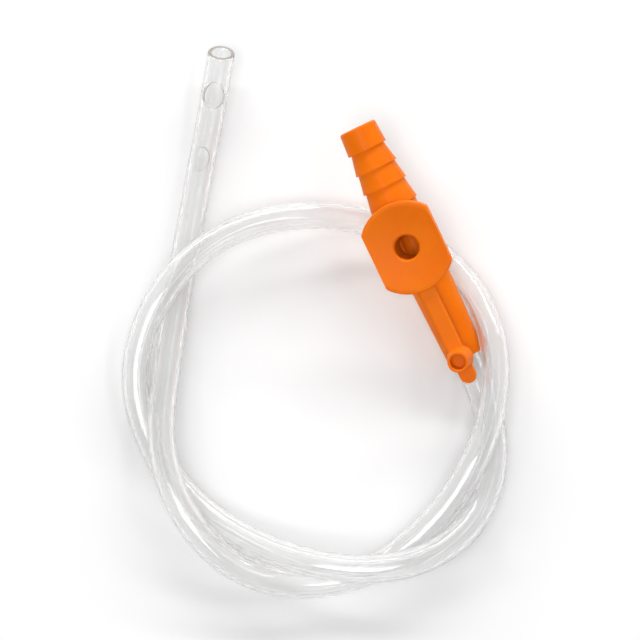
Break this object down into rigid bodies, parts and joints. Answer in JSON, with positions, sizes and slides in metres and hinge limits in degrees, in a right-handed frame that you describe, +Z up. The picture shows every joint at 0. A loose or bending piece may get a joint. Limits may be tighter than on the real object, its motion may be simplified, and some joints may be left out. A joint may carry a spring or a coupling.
{
  "type": "suction catheter",
  "caption": "Clear soft suction catheter, loosely coiled, with side eyes near its open tip and an orange thumb-port connector with a ringed tubing spigot and a plug on a strap.",
  "frame": {"origin": "on the surface that the catheter lies on, under the middle of its outline", "axes": "+Z up from that surface, +Y along the long side of the outline towards the catheter's free tip, +X to the side where the connector lies"},
  "size_m": [0.0742, 0.1082, 0.0204],
  "materials": {
    "orange_moulding": "satin injection-moulded orange plastic",
    "clear_tube": "clear glossy soft PVC"
  },
  "bodies": {
    "root": {"control_connector": "orange_moulding", "catheter_tube": "clear_tube"}
  },
  "joints": []
}
